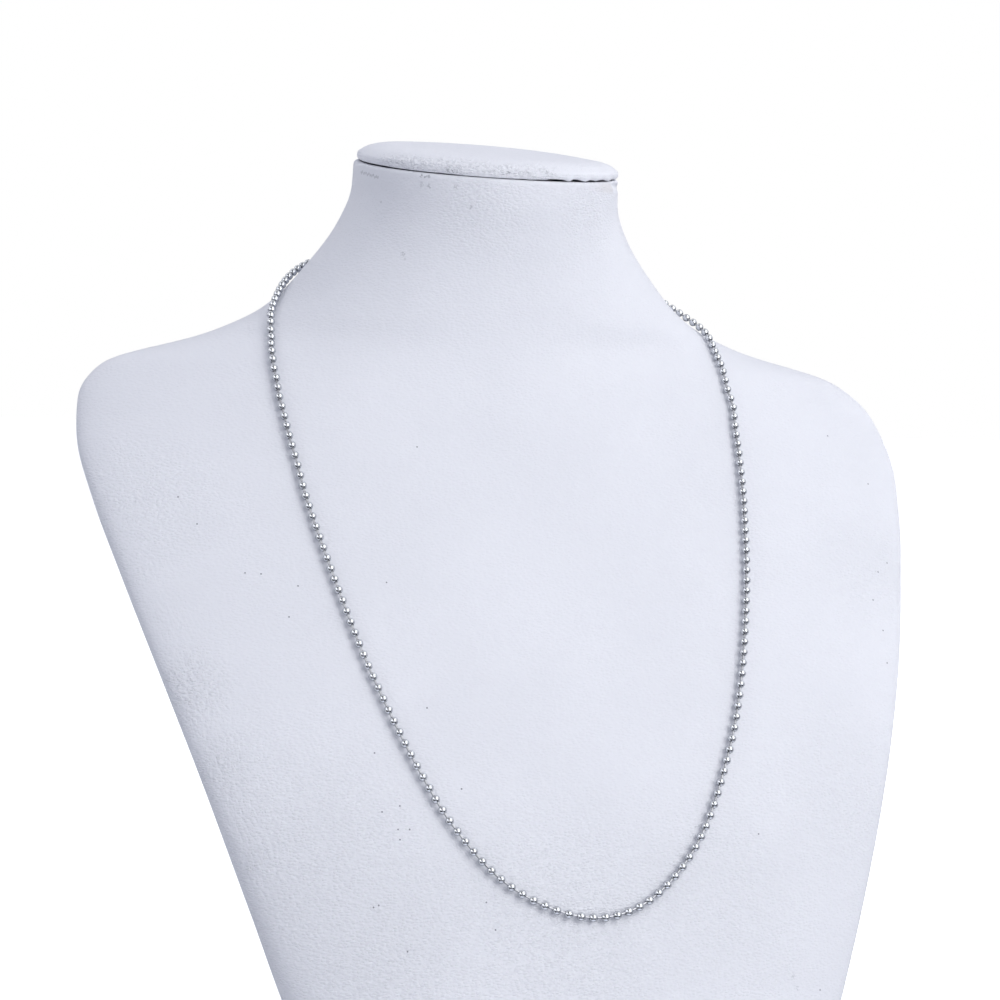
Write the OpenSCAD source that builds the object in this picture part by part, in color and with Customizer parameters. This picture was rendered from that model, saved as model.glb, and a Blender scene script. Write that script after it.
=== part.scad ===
// Ball chain necklace worn by a white leatherette neck bust. Millimetres, +Z up.
// The bust stands on its flat foot at z = 0 and faces -Y, and +X is its left shoulder.
// The origin is on the floor, under the middle of the whole.

/* [Bust] */
// Height of the middle of the neck's rim above the floor
bust_h = 244; // [200:1:300]
// Width over the shoulders
shoulder_w = 251; // [200:1:300]
// Width of the neck at its rim
neck_w = 80; // [60:1:100]
// Depth from the front of the foot to the back of the neck
bust_depth = 181; // [140:1:220]
// Forward slope of the neck's rim, in degrees
neck_tilt = 7.5; // [0:0.5:14]
// Radius of the edge round the foot
foot_edge_r = 4; // [1:0.5:8]
// Radius of the folded edge round the neck's rim
rim_edge_r = 1.2; // [0.6:0.1:2.5]

/* [Cap] */
// Height of the padded cap's edge
cap_edge_h = 3.8; // [3:0.1:10]
// How far the cap's crown rises above its edge
cap_crown = 2.4; // [0.5:0.1:4]
// How far the cap's widest line lies inside the rim
cap_inset = 0.6; // [0:0.1:2]
// Height of the seam between the rim and the cap
cap_seam = 0.4; // [0.2:0.1:1.5]

/* [Chain] */
// Diameter of a bead
bead_d = 2.4; // [1.8:0.1:2.5]
// Distance from bead to bead, which is rounded so that whole beads fill the loop
bead_pitch = 3.42; // [3.35:0.01:4.5]
// Diameter of the wire between the beads
wire_d = 0.6; // [0.4:0.05:0.7]
// Space round the wire in a bead's hole
wire_play = 0.25; // [0.2:0.05:0.3]
// Space between the beads and the leatherette
chain_gap = 0.3; // [0.2:0.05:1]

/* [Coupling] */
// Thickness of the closed sleeve that joins the two end beads
coupling_wall = 0.45; // [0.3:0.05:0.6]
// Space round a bead inside the sleeve
coupling_play = 0.15; // [0.1:0.05:0.25]
// Thickness of the sleeve's end walls
coupling_end = 0.6; // [0.4:0.05:0.7]
// Space round the wire in the hole of an end wall
throat_play = 0.35; // [0.25:0.05:0.5]
// Space beside the wire in the slit along the sleeve
slit_play = 0.1; // [0.1:0.05:0.2]

/* [Hidden] */

// Colours of the leatherette and of the steel
white_hide = [0.9, 0.91, 0.95];
steel = [0.72, 0.73, 0.75];

// Sides of the bust's sections and of the wire, and facets of the exact round pieces
skin_sides = 64;
wire_sides = 6;
round_fn = 32;

// The bust's level sections, from the foot to the neck's rim. The columns are the height as a
// share of bust_h, the half width as a share of the way from the neck's to the shoulders', the
// front, the widest line and the back as shares of bust_depth, and the powers that make the front
// and the back half rounder or squarer than an ellipse.
HEIGHT = 0;
WIDTH = 1;
FRONT = 2;
WIDEST = 3;
BACK = 4;
FRONT_POWER = 5;
BACK_POWER = 6;
SECTIONS = [
    [0.000, 0.357, 0.000, 0.105, 0.848, 2.15, 2.10],
    [0.061, 0.433, 0.038, 0.135, 0.848, 2.15, 2.00],
    [0.164, 0.544, 0.101, 0.183, 0.850, 2.40, 1.80],
    [0.287, 0.669, 0.176, 0.251, 0.855, 2.70, 1.80],
    [0.410, 0.793, 0.270, 0.342, 0.864, 2.64, 2.00],
    [0.512, 0.891, 0.363, 0.443, 0.882, 2.55, 2.20],
    [0.594, 0.965, 0.441, 0.535, 0.902, 2.40, 2.15],
    [0.656, 1.000, 0.497, 0.609, 0.920, 2.07, 2.10],
    [0.705, 0.984, 0.536, 0.673, 0.936, 1.77, 2.10],
    [0.746, 0.887, 0.560, 0.730, 0.950, 1.62, 2.10],
    [0.783, 0.526, 0.572, 0.771, 0.962, 1.73, 2.10],
    [0.819, 0.308, 0.576, 0.785, 0.972, 2.15, 2.15],
    [0.869, 0.168, 0.576, 0.780, 0.984, 2.10, 2.10],
    [0.926, 0.049, 0.566, 0.771, 0.994, 2.10, 2.10],
    [0.967, 0.004, 0.554, 0.768, 0.998, 2.16, 2.13],
    [1.000, 0.000, 0.549, 0.766, 1.000, 2.20, 2.15],
];
LAST = len(SECTIONS) - 1;
rings_per_row = 4;
edge_rings = 3;

// Height share where the sections start to lean towards the slope of the rim
tilt_start = 0.743;

// The chain's route on the skin, from the nape over the right shoulder, under the throat, and over
// the left shoulder back to the nape: the height share, and the turn about the neck in degrees,
// where 90 is the back, 180 the right side, 270 the front and 360 the left side.
ROUTE = [
    [0.886, 90],
    [0.886, 116],
    [0.878, 139],
    [0.864, 157.5],
    [0.849, 171],
    [0.835, 182.5],
    [0.823, 191],
    [0.802, 204],
    [0.783, 212.5],
    [0.760, 225],
    [0.744, 229.5],
    [0.710, 234],
    [0.651, 238],
    [0.592, 239.5],
    [0.489, 241],
    [0.413, 242.5],
    [0.328, 245.5],
    [0.260, 249.5],
    [0.205, 256],
    [0.173, 265.5],
    [0.168, 275],
    [0.191, 283.5],
    [0.243, 290.5],
    [0.321, 295],
    [0.394, 297.5],
    [0.500, 299.5],
    [0.591, 300.5],
    [0.652, 302],
    [0.699, 305],
    [0.745, 310],
    [0.764, 316.5],
    [0.782, 328],
    [0.802, 339],
    [0.834, 362.5],
    [0.847, 375],
    [0.861, 390],
    [0.875, 409],
    [0.884, 430],
    [0.886, 450],
];
route_last = len(ROUTE) - 1;
nape = ROUTE[0][1];
full_turn = [0, 360];

// Steps of the route's curve between two of its points
route_steps = 24;
// Turn on each side of the nape within which the chain rises to the thicker coupling
nape_turn = 25;

function unit(v) = v / norm(v);
function smooth_step(t) = t <= 0 ? 0 : t >= 1 ? 1 : t * t * (3 - 2 * t);

// Curve between two values with their slopes, over a run of the given size
function hermite(from, to, slope_from, slope_to, size, t) =
    (1 + 2 * t) * (1 - t) * (1 - t) * from + t * t * (3 - 2 * t) * to
    + size * (t * (1 - t) * (1 - t) * slope_from - t * t * (1 - t) * slope_to);

// Rise of a column from row i to the next, and its slope at row i, which never overshoots
function run(i) = SECTIONS[i + 1][HEIGHT] - SECTIONS[i][HEIGHT];
function rise(col, i) = (SECTIONS[i + 1][col] - SECTIONS[i][col]) / run(i);
function inner_slope(below, above, run_below, run_above) =
    below * above <= 0 ? 0
    : 3 * (run_below + run_above)
      / ((2 * run_above + run_below) / below + (run_above + 2 * run_below) / above);
function slope(col, i) =
    i == 0 ? rise(col, 0)
    : i == LAST ? rise(col, LAST - 1)
    : inner_slope(rise(col, i - 1), rise(col, i), run(i - 1), run(i));

// Value of a column at height share h, on a smooth curve through the rows
function row_at(h) = max([for (i = [0 : LAST - 1]) if (i == 0 || SECTIONS[i][HEIGHT] <= h) i]);
function column(col, h) =
    let (i = row_at(h))
    hermite(
        SECTIONS[i][col], SECTIONS[i + 1][col], slope(col, i), slope(col, i + 1),
        run(i), (h - SECTIONS[i][HEIGHT]) / run(i)
    );

function half_width(h) = neck_w / 2 + column(WIDTH, h) * (shoulder_w - neck_w) / 2;
function lean(h) = neck_tilt * smooth_step((h - tilt_start) / (1 - tilt_start));

// Point of a level section's outline at a turn, pulled in by inset, about its widest line
function outline(h, turn, inset) =
    let (
        is_front = sin(turn) < 0,
        edge = column(is_front ? FRONT : BACK, h),
        power = column(is_front ? FRONT_POWER : BACK_POWER, h),
        deep = bust_depth * abs(column(WIDEST, h) - edge),
        reach = pow(pow(abs(cos(turn)), power) + pow(abs(sin(turn)), power), -1 / power)
    )
    [(half_width(h) - inset) * reach * cos(turn), (deep - inset) * reach * sin(turn)];

// Point of the skin at height share h and a turn. It can be pulled in by inset, shrunk to a share
// of its size about the neck's middle, and lifted along the neck.
function skin(h, turn, inset = 0, lift = 0, size = 1) =
    let (flat = outline(h, turn, inset) * size, tip = lean(h))
    [
        flat.x,
        bust_depth * (column(WIDEST, h) - 1 / 2) + flat.y * cos(tip) - lift * sin(tip),
        bust_h * h + flat.y * sin(tip) + lift * cos(tip)
    ];

// Outward direction of the skin, from places a little beside the point
probe_h = 0.002;
probe_turn = 0.5;
function skin_out(h, turn) =
    unit(cross(
        skin(h, turn + probe_turn) - skin(h, turn - probe_turn),
        skin(h + probe_h, turn) - skin(h - probe_h, turn)
    ));

// One closed ring of skin points
function ring(h, inset = 0, lift = 0, size = 1) =
    [for (i = [0 : skin_sides - 1]) skin(h, 360 * i / skin_sides, inset, lift, size)];

// The bust's rings: the rounded edge of the foot, the body, and the rounded edge of the rim
foot_top = foot_edge_r / bust_h;
rim_bottom = 1 - rim_edge_r / bust_h;
ring_space = 0.005;
foot_rings = [
    for (i = [0 : edge_rings])
        let (a = 90 * i / edge_rings)
        ring(foot_top * (1 - cos(a)), inset = foot_edge_r * (1 - sin(a)))
];
body_heights = [
    for (i = [0 : LAST - 1], j = [0 : rings_per_row - 1])
        SECTIONS[i][HEIGHT] + run(i) * j / rings_per_row
];
body_rings = [
    for (h = body_heights)
        if (h > foot_top + ring_space && h < rim_bottom - ring_space) ring(h)
];
rim_rings = [
    for (i = [0 : edge_rings])
        let (a = 90 * i / edge_rings)
        ring(1, inset = rim_edge_r * (1 - cos(a)), lift = rim_edge_r * (sin(a) - 1))
];

// The cap's rings: its half-round edge, and its crown, which is flatter towards the middle
cap_edge_r = cap_edge_h / 2;
cap_edge_rings = 8;
cap_crown_rings = 7;
crown_pole = 0.08;
cap_edge = [
    for (i = [0 : cap_edge_rings])
        let (a = 180 * i / cap_edge_rings - 90)
        ring(
            1,
            inset = cap_inset + cap_edge_r * (1 - cos(a)),
            lift = cap_seam + cap_edge_r * (1 + sin(a))
        )
];
cap_top = [
    for (i = [1 : cap_crown_rings])
        let (size = 1 - (1 - crown_pole) * i / cap_crown_rings)
        ring(
            1,
            inset = cap_inset + cap_edge_r,
            lift = cap_seam + cap_edge_h + cap_crown * (1 - size * size),
            size = size
        )
];

// Solid through a list of rings, closed with a flat face at each end
module loft(rings) {
    sides = len(rings[0]);
    last = len(rings) - 1;
    function at(j, i) = j * sides + i % sides;
    polyhedron(
        points = [for (points = rings) each points],
        faces = concat(
            [[for (i = [0 : sides - 1]) at(0, i)]],
            [
                for (j = [0 : last - 1], i = [0 : sides - 1])
                    each [
                        [at(j, i), at(j + 1, i), at(j, i + 1)],
                        [at(j, i + 1), at(j + 1, i), at(j + 1, i + 1)],
                    ]
            ],
            [[for (i = [sides - 1 : -1 : 0]) at(last, i)]]
        )
    );
}

// The route as a smooth closed curve of heights and turns
function route_point(i) =
    i < 0 ? ROUTE[route_last + i] - full_turn
    : i > route_last ? ROUTE[i - route_last] + full_turn
    : ROUTE[i];
function route_at(i, t) =
    let (
        before = route_point(i - 1),
        from = route_point(i),
        to = route_point(i + 1),
        after = route_point(i + 2)
    )
    hermite(from, to, (to - before) / 2, (after - from) / 2, 1, t);

// Height of the chain's middle line over the skin. It rises where the coupling lies on the nape.
coupling_bore_d = bead_d + 2 * coupling_play;
coupling_d = coupling_bore_d + 2 * coupling_wall;
bead_stand = bead_d / 2 + chain_gap;
coupling_stand = coupling_d / 2 + chain_gap;
function nape_share(turn) =
    let (away = min(abs(turn - nape), abs(turn - nape - 360)))
    smooth_step(1 - away / nape_turn);
function chain_stand(turn) = bead_stand + (coupling_stand - bead_stand) * nape_share(turn);

// The chain's middle line in space
function over_skin(place) =
    skin(place[0], place[1]) + skin_out(place[0], place[1]) * chain_stand(place[1]);
curve = [
    for (i = [0 : route_last - 1], j = [0 : route_steps - 1])
        over_skin(route_at(i, j / route_steps)),
    over_skin(ROUTE[route_last]),
];

// Length of the curve up to each of its points, and the place at a length
steps = [for (i = [1 : len(curve) - 1]) norm(curve[i] - curve[i - 1])];
lengths = [
    for (i = 0, sum = 0; i < len(curve); sum = sum + (i < len(steps) ? steps[i] : 0), i = i + 1)
        sum
];
loop_length = lengths[len(lengths) - 1];
along = [
    for (axis = [0 : 2])
        [for (i = [0 : len(curve) - 1]) [lengths[i], curve[i][axis]]]
];
function place_at(length) = [for (axis = [0 : 2]) lookup(length, along[axis])];

// Whole beads fill the loop. The first and the last lie on the two sides of the nape.
bead_count = round(loop_length / bead_pitch);
pitch = loop_length / bead_count;
beads = [for (i = [0 : bead_count - 1]) place_at((i + 1 / 2) * pitch)];
bead_last = bead_count - 1;
function bead_way(i) = unit(beads[min(i + 1, bead_last)] - beads[max(i - 1, 0)]);

// Carries its children to a place, their z axis along one direction and their x axis near another
up = [0, 0, 1];
module along_way(place, way, side) {
    y_way = unit(cross(way, side));
    x_way = cross(y_way, way);
    multmatrix([
        [x_way.x, y_way.x, way.x, place.x],
        [x_way.y, y_way.y, way.y, place.y],
        [x_way.z, y_way.z, way.z, place.z],
        [0, 0, 0, 1],
    ])
        children();
}

// Moves the middle between the foot's front and the coupling's back over the origin
front_y = min([for (points = foot_rings) each [for (point = points) point.y]]);
back_y = over_skin(ROUTE[0]).y + coupling_d / 2;
module centred() {
    translate([0, -(front_y + back_y) / 2, 0])
        children();
}

// Foot, chest, shoulders and neck in one padded form
module bust() {
    color(white_hide)
        centred()
            loft(concat(foot_rings, body_rings, rim_rings));
}

// Padded disc that closes the neck
module neck_cap() {
    color(white_hide)
        centred()
            loft(concat(cap_edge, cap_top));
}

// One ball, drilled for the wire
bore_d = wire_d + 2 * wire_play;
module bead() {
    difference() {
        sphere(d = bead_d, $fn = round_fn);
        cylinder(d = bore_d, h = 2 * bead_d, center = true, $fn = round_fn);
    }
}

// All beads of the chain, each loose on the wire
module chain_beads() {
    color(steel)
        centred()
            for (i = [0 : bead_last])
                along_way(beads[i], bead_way(i), up)
                    bead();
}

// Wire through the beads, from the first to the last
function wire_ring(i) =
    let (
        way = bead_way(i),
        side = unit(cross(up, way)),
        rise_way = cross(way, side)
    )
    [
        for (k = [0 : wire_sides - 1])
            let (a = 360 * k / wire_sides)
            beads[i] + wire_d / 2 * (side * cos(a) + rise_way * sin(a))
    ];
module chain_wire() {
    color(steel)
        centred()
            loft([for (i = [0 : bead_last]) wire_ring(i)]);
}

// Sleeve that holds the first and the last bead, closed but for its slit and the wire's holes
chamber_h = norm(beads[0] - beads[bead_last]) + coupling_bore_d;
sleeve_h = chamber_h + 2 * coupling_end;
throat_d = wire_d + 2 * throat_play;
slit_w = wire_d + 2 * slit_play;
module sleeve_body() {
    edge_r = coupling_d / 2 - coupling_wall;
    edge_h = sleeve_h / 2 - coupling_wall;
    rotate_extrude($fn = round_fn)
        polygon([
            [0, -sleeve_h / 2],
            [edge_r, -sleeve_h / 2],
            [coupling_d / 2, -edge_h],
            [coupling_d / 2, edge_h],
            [edge_r, sleeve_h / 2],
            [0, sleeve_h / 2],
        ]);
}
module coupling() {
    first = beads[0];
    last = beads[bead_last];
    color(steel)
        centred()
            along_way((first + last) / 2, unit(first - last), skin_out(ROUTE[0][0], nape))
                difference() {
                    sleeve_body();
                    cylinder(d = coupling_bore_d, h = chamber_h, center = true, $fn = round_fn);
                    cylinder(d = throat_d, h = 2 * sleeve_h, center = true, $fn = round_fn);
                    translate([0, -slit_w / 2, -sleeve_h])
                        cube([coupling_d, slit_w, 2 * sleeve_h]);
                }
}

bust();
neck_cap();
chain_beads();
chain_wire();
coupling();
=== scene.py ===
# %% [markdown]
# # Ball chain necklace on a neck bust
#
# The object is a long ball chain of polished steel, worn in one closed loop by a white display
# bust. The bust is a hard form with leatherette drawn over it, and a padded cap closes its neck.
#
# The solids were made first, in a CAD program, and they are the fixed frame of this lesson.
# Blender adds what a solid can't carry: grain, pinholes, pleats, polish and light.
# Lengths are in metres, and the object stands on the floor plane with its front towards -Y.

# %% Load the frame
import math

import bpy
import numpy as np
from mathutils import Matrix, Vector
from mathutils.bvhtree import BVHTree


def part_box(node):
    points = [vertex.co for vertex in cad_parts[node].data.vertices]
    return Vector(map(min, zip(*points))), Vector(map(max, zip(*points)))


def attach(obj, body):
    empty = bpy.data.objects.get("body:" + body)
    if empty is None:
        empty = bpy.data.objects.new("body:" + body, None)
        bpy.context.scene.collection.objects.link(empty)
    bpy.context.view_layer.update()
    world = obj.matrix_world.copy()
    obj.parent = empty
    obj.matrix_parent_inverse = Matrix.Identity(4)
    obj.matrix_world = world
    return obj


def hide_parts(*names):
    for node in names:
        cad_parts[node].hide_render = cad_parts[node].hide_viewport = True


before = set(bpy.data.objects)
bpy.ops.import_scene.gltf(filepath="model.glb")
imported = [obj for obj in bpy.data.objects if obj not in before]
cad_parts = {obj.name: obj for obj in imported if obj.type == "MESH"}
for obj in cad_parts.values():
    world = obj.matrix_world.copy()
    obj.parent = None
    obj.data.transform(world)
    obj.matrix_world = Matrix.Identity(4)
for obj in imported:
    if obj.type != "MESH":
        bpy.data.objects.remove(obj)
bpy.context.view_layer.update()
MM = 0.001
print("CAD nodes:", sorted(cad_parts))

# %% [markdown]
# ## Camera
#
# A long lens from about 0.7 m keeps the bust's lines calm. The camera stands a little to the
# object's right, at three quarters of its height, and looks slightly down. It is turned by
# three plain rotations, so each of them can be changed alone: pan, tilt and a small roll.

# %% The camera
PICTURE_SIDE = 1000
CAMERA_PLACE = (-0.2147, -0.69028, 0.1956)
PAN = math.radians(-16.83)
TILT = math.radians(90 - 3.91)
ROLL = math.radians(2.04)
OBJECT_MIDDLE = Vector((0, 0, 0.13))
camera_data = bpy.data.cameras.new("photo_camera")
camera_data.lens = 90
camera_data.sensor_width = 36
camera_data.clip_start = 0.05
camera = bpy.data.objects.new("photo_camera", camera_data)
bpy.context.collection.objects.link(camera)
camera.matrix_world = (
    Matrix.Translation(CAMERA_PLACE)
    @ Matrix.Rotation(PAN, 4, "Z")
    @ Matrix.Rotation(TILT, 4, "X")
    @ Matrix.Rotation(ROLL, 4, "Z")
)
bpy.context.scene.camera = camera
eye = camera.matrix_world.to_translation()
lens_pixels = camera_data.lens / camera_data.sensor_width * PICTURE_SIDE
print("camera to the object's middle:", round((eye - OBJECT_MIDDLE).length, 3), "m")


# %% From the picture to the object and back
def picture_way(x, y):
    """The way from the camera through a place in the picture, in pixels from its top left."""
    local = Vector((x - PICTURE_SIDE / 2, PICTURE_SIDE / 2 - y, -lens_pixels))
    return (camera.matrix_world.to_3x3() @ local).normalized()


def picture_places(places):
    """Where places show in the picture, in pixels from its top left, one row each."""
    view = np.array(camera.matrix_world.inverted())
    local = places @ view[:3, :3].T + view[:3, 3]
    return PICTURE_SIDE / 2 + local[:, :2] / -local[:, 2:] * lens_pixels * (1, -1)


print("the picture's middle looks along", tuple(round(c, 3) for c in picture_way(500, 500)))

# %% [markdown]
# ## Helpers for edit mode
#
# Blender's operators act on all that is selected, and the loaded frame arrives selected. So a
# piece is always made the only selected one first. Its corners and faces are then chosen in
# code, by their place.


# %% Select one piece
def only(piece):
    """Selects one object alone and makes it the active one."""
    bpy.ops.object.select_all(action="DESELECT")
    piece.select_set(True)
    bpy.context.view_layer.objects.active = piece


def edit_mode():
    """Goes into edit mode, where the mesh operators work."""
    bpy.ops.object.mode_set(mode="EDIT")


def object_mode():
    """Goes back to object mode, where a mesh's own data can be read and set."""
    bpy.ops.object.mode_set(mode="OBJECT")


def start_from(primitive, **settings):
    """Adds a primitive with nothing else selected, as the start of a piece."""
    bpy.ops.object.select_all(action="DESELECT")
    primitive(**settings)
    return bpy.context.object


def pick_faces(piece, test):
    """In edit mode, selects the faces whose middle and normal pass a test."""
    bpy.ops.mesh.select_mode(type="FACE")
    bpy.ops.mesh.select_all(action="DESELECT")
    object_mode()
    for face in piece.data.polygons:
        face.select = bool(test(face.center, face.normal))
    edit_mode()


def corners_of(piece):
    """The places of a mesh's corners, one row each."""
    flat = np.empty(3 * len(piece.data.vertices))
    piece.data.vertices.foreach_get("co", flat)
    return flat.reshape(-1, 3)


def move_corners(piece, places):
    """Gives a mesh's corners new places, one row each."""
    piece.data.vertices.foreach_set("co", places.ravel())
    piece.data.update()


def add_modifier(piece, kind, **settings):
    """Adds a modifier, sets it and applies it at once."""
    only(piece)
    modifier = piece.modifiers.new(kind.lower(), kind)
    for name, value in settings.items():
        setattr(modifier, name, value)
    bpy.ops.object.modifier_apply(modifier=modifier.name)


print("helpers ready")

# %% [markdown]
# ## Helpers for materials
#
# A procedural material is a small network of nodes. One short function adds a node, sets it
# and joins it to what feeds it, which keeps each recipe readable. What several finishes need,
# such as a grain or a smudge, becomes a node group with named inputs and outputs.


# %% Add a node
def add_node(tree, kind, feeds=None, **settings):
    """Adds a node. feeds gives a value or another node's output for some of its inputs."""
    node = tree.nodes.new(kind)
    for name, value in settings.items():
        setattr(node, name, value)
    for name, value in (feeds or {}).items():
        if isinstance(value, bpy.types.NodeSocket):
            tree.links.new(value, node.inputs[name])
        else:
            node.inputs[name].default_value = value
    return node


def object_place(tree):
    """The place on the object, in metres."""
    return add_node(tree, "ShaderNodeTexCoord").outputs["Object"]


def noise(tree, place, scale, detail=2.0):
    """A soft noise. Its scale says how many lumps lie along one unit of the place."""
    feeds = {"Vector": place, "Scale": scale, "Detail": detail}
    return add_node(tree, "ShaderNodeTexNoise", feeds).outputs["Fac"]


def maths(tree, operation, first, second=0.0, clamp=False):
    """The result of one sum on two numbers or outputs."""
    node = add_node(tree, "ShaderNodeMath", {0: first, 1: second}, operation=operation)
    node.use_clamp = clamp
    return node.outputs[0]


def smooth_range(tree, value, low, high, to_low=0.0, to_high=1.0):
    """Carries a range of values smoothly over to another."""
    feeds = {"Value": value, "From Min": low, "From Max": high, "To Min": to_low, "To Max": to_high}
    node = add_node(tree, "ShaderNodeMapRange", feeds, interpolation_type="SMOOTHSTEP")
    return node.outputs["Result"]


# %% Start a node group
def new_group(name, inputs, outputs):
    """An empty node group with its sockets. Gives the group, what it is given and its results."""
    group = bpy.data.node_groups.new(name, "ShaderNodeTree")
    for title, value in inputs.items():
        kind = "NodeSocketFloat" if isinstance(value, float) else "NodeSocketVector"
        socket = group.interface.new_socket(title, in_out="INPUT", socket_type=kind)
        socket.default_value = value
    for title in outputs:
        group.interface.new_socket(title, in_out="OUTPUT", socket_type="NodeSocketFloat")
    given = group.nodes.new("NodeGroupInput").outputs
    return group, given, group.nodes.new("NodeGroupOutput").inputs


def place_group(tree, group, feeds):
    """Puts a group into a material with its own values."""
    return add_node(tree, "ShaderNodeGroup", feeds, node_tree=group)


def new_material(name):
    """A material with an empty Principled shader. Gives the material, its tree and the shader."""
    material = bpy.data.materials.new(name)
    material.use_nodes = True
    return material, material.node_tree, material.node_tree.nodes["Principled BSDF"]


print("node helpers ready")

# %% [markdown]
# ## Leatherette
#
# Leatherette is a cloth with a thin layer of soft white plastic, pressed with a fine pebble
# grain. Two things are seen on it: the grain, whose pebbles are about 1 mm long and half as
# high, and faint lines where it was stretched over the form. Where it is stretched tight the
# grain almost goes away.
#
# The pebbles could be a real displacement, but at this size that takes millions of faces.
# A cell pattern in the bump does it: the creases are the borders between the cells, and the
# pores are their middles.

# %% Pebble grain
BEND = (0.9, 0.9, 0.9)
DOME_SHARE = 0.4
FINE_SHARE = 0.35


def in_cells(tree, slant, cell):
    """The place on the object, turned by a slant and measured in cells of a size."""
    feeds = {"Vector": object_place(tree), "Angle": slant}
    turned = add_node(tree, "ShaderNodeVectorRotate", feeds, rotation_type="Y_AXIS")
    feeds = {0: turned.outputs["Vector"], 1: cell}
    return add_node(tree, "ShaderNodeVectorMath", feeds, operation="DIVIDE").outputs["Vector"]


def pebble_grain_group():
    """Pebbles as bump height, with masks of the creases between them and of their pores."""
    inputs = {"Length": 0.001, "Height share": 0.5, "Slant": 0.2}
    group, given, result = new_group("pebble_grain", inputs, ["Height", "Crease", "Pore"])
    length = given["Length"]
    low = maths(group, "MULTIPLY", length, given["Height share"])
    cell = add_node(group, "ShaderNodeCombineXYZ", {"X": length, "Y": length, "Z": low})
    scaled = in_cells(group, given["Slant"], cell.outputs[0])
    wander = add_node(group, "ShaderNodeTexNoise", {"Vector": scaled, "Scale": 0.7, "Detail": 2.0})
    bent = add_node(
        group,
        "ShaderNodeVectorMath",
        {0: wander.outputs["Color"], 1: BEND, 2: scaled},
        operation="MULTIPLY_ADD",
    ).outputs["Vector"]
    feeds = {"Vector": bent, "Scale": 1.0}
    borders = add_node(group, "ShaderNodeTexVoronoi", feeds, feature="DISTANCE_TO_EDGE")
    middles = add_node(group, "ShaderNodeTexVoronoi", feeds, feature="F1").outputs["Distance"]
    dome = smooth_range(group, borders.outputs["Distance"], 0.0, 0.4)
    swell = smooth_range(group, middles, 0.8, 0.1)
    rough = maths(group, "MULTIPLY", noise(group, bent, 2.6), FINE_SHARE)
    height = maths(group, "ADD", maths(group, "MULTIPLY", dome, DOME_SHARE), rough)
    group.links.new(maths(group, "ADD", height, swell), result["Height"])
    group.links.new(maths(group, "SUBTRACT", 1.0, dome, True), result["Crease"])
    group.links.new(smooth_range(group, middles, 0.3, 0.08), result["Pore"])
    return group


pebble_grain = pebble_grain_group()
print("pebble grain:", len(pebble_grain.nodes), "nodes")


# %% Stretch lines
def stretch_lines_group():
    """Fine lines along the pull, as bump height."""
    inputs = {"Gap": 0.0012, "Run": 0.03, "Slant": 0.35}
    group, given, result = new_group("stretch_lines", inputs, ["Height"])
    gap, run = given["Gap"], given["Run"]
    cell = add_node(group, "ShaderNodeCombineXYZ", {"X": gap, "Y": gap, "Z": run})
    scaled = in_cells(group, given["Slant"], cell.outputs[0])
    group.links.new(noise(group, scaled, 0.6, 3.0), result["Height"])
    return group


stretch_lines = stretch_lines_group()
print("stretch lines:", len(stretch_lines.nodes), "nodes")

# %% [markdown]
# ## Smudges
#
# A white bust that has stood in a shop is never clean. Small grey scuffs sit where hands lift
# the cap, and there is one brownish stain. Each has a place in space, and its mask fades with
# the distance to that place. A noise frays it. Where a scuff is only a few crooked strokes, as
# a fingernail leaves them, the mask keeps the lines on which a second noise is at its middle
# value, like the contour lines of a map. One group makes both kinds.

# %% Smudge
FRAY_PLAIN = 0.3
FRAY_STROKES = 1.1


def smudge_group():
    """A mask round one place. Strokes is 0 for an even spot and 1 for crooked strokes alone."""
    inputs = {"Place": (0.0, 0.0, 0.0), "Radius": 0.002, "Strokes": 1.0, "Strength": 1.0}
    group, given, result = new_group("smudge", inputs, ["Mask"])
    place = object_place(group)
    feeds = {0: place, 1: given["Place"]}
    away = add_node(group, "ShaderNodeVectorMath", feeds, operation="DISTANCE").outputs["Value"]
    share = maths(group, "DIVIDE", away, given["Radius"])
    fray = maths(group, "SUBTRACT", noise(group, place, 800.0), 0.5)
    by_strokes = maths(group, "MULTIPLY", given["Strokes"], FRAY_STROKES)
    ragged = maths(group, "ADD", by_strokes, FRAY_PLAIN)
    wave = maths(group, "MULTIPLY", fray, ragged)
    spot = smooth_range(group, maths(group, "ADD", share, wave), 1.0, 0.4)
    off_middle = maths(group, "SUBTRACT", noise(group, place, 850.0, 1.0), 0.5)
    strokes = smooth_range(group, maths(group, "ABSOLUTE", off_middle), 0.1, 0.03)
    plain = maths(group, "SUBTRACT", 1.0, given["Strokes"])
    kept = maths(group, "ADD", maths(group, "MULTIPLY", strokes, given["Strokes"]), plain)
    mask = maths(group, "MULTIPLY", maths(group, "MULTIPLY", spot, kept), given["Strength"])
    group.links.new(mask, result["Mask"])
    return group


smudge = smudge_group()
print("smudge:", len(smudge.nodes), "nodes")

# %% [markdown]
# ## The leatherette material
#
# Bust and cap wear the same skin, but not the same marks, so one function builds the material and
# is told how strong the grain is and where the smudges lie. The cap's white is a shade lighter, as
# painted light from above on its top. Three painted masks on the mesh say where the grain shows,
# where the skin is stretched and which corners look into the seam, where painted shade darkens
# them.

# %% Leatherette
HIDE_WHITE = (0.80, 0.81, 0.85, 1.0)
# The cap's white is a shade lighter than the bust's: painted light from above on its top.
CAP_LIT_WHITE = (0.83, 0.84, 0.88, 1.0)
# A grey for the scuffs and the cloudy tone, and for the painted shade in creases and pores.
HIDE_GREY_AND_SHADE = (0.30, 0.31, 0.34, 1.0)
STAIN_BROWN = (0.42, 0.36, 0.29, 1.0)
# Painted shade for the seam between cap and neck, where little light falls.
SEAM_PAINTED_SHADE = (0.09, 0.09, 0.12, 1.0)
CLOUD_TONE = 0.05
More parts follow.
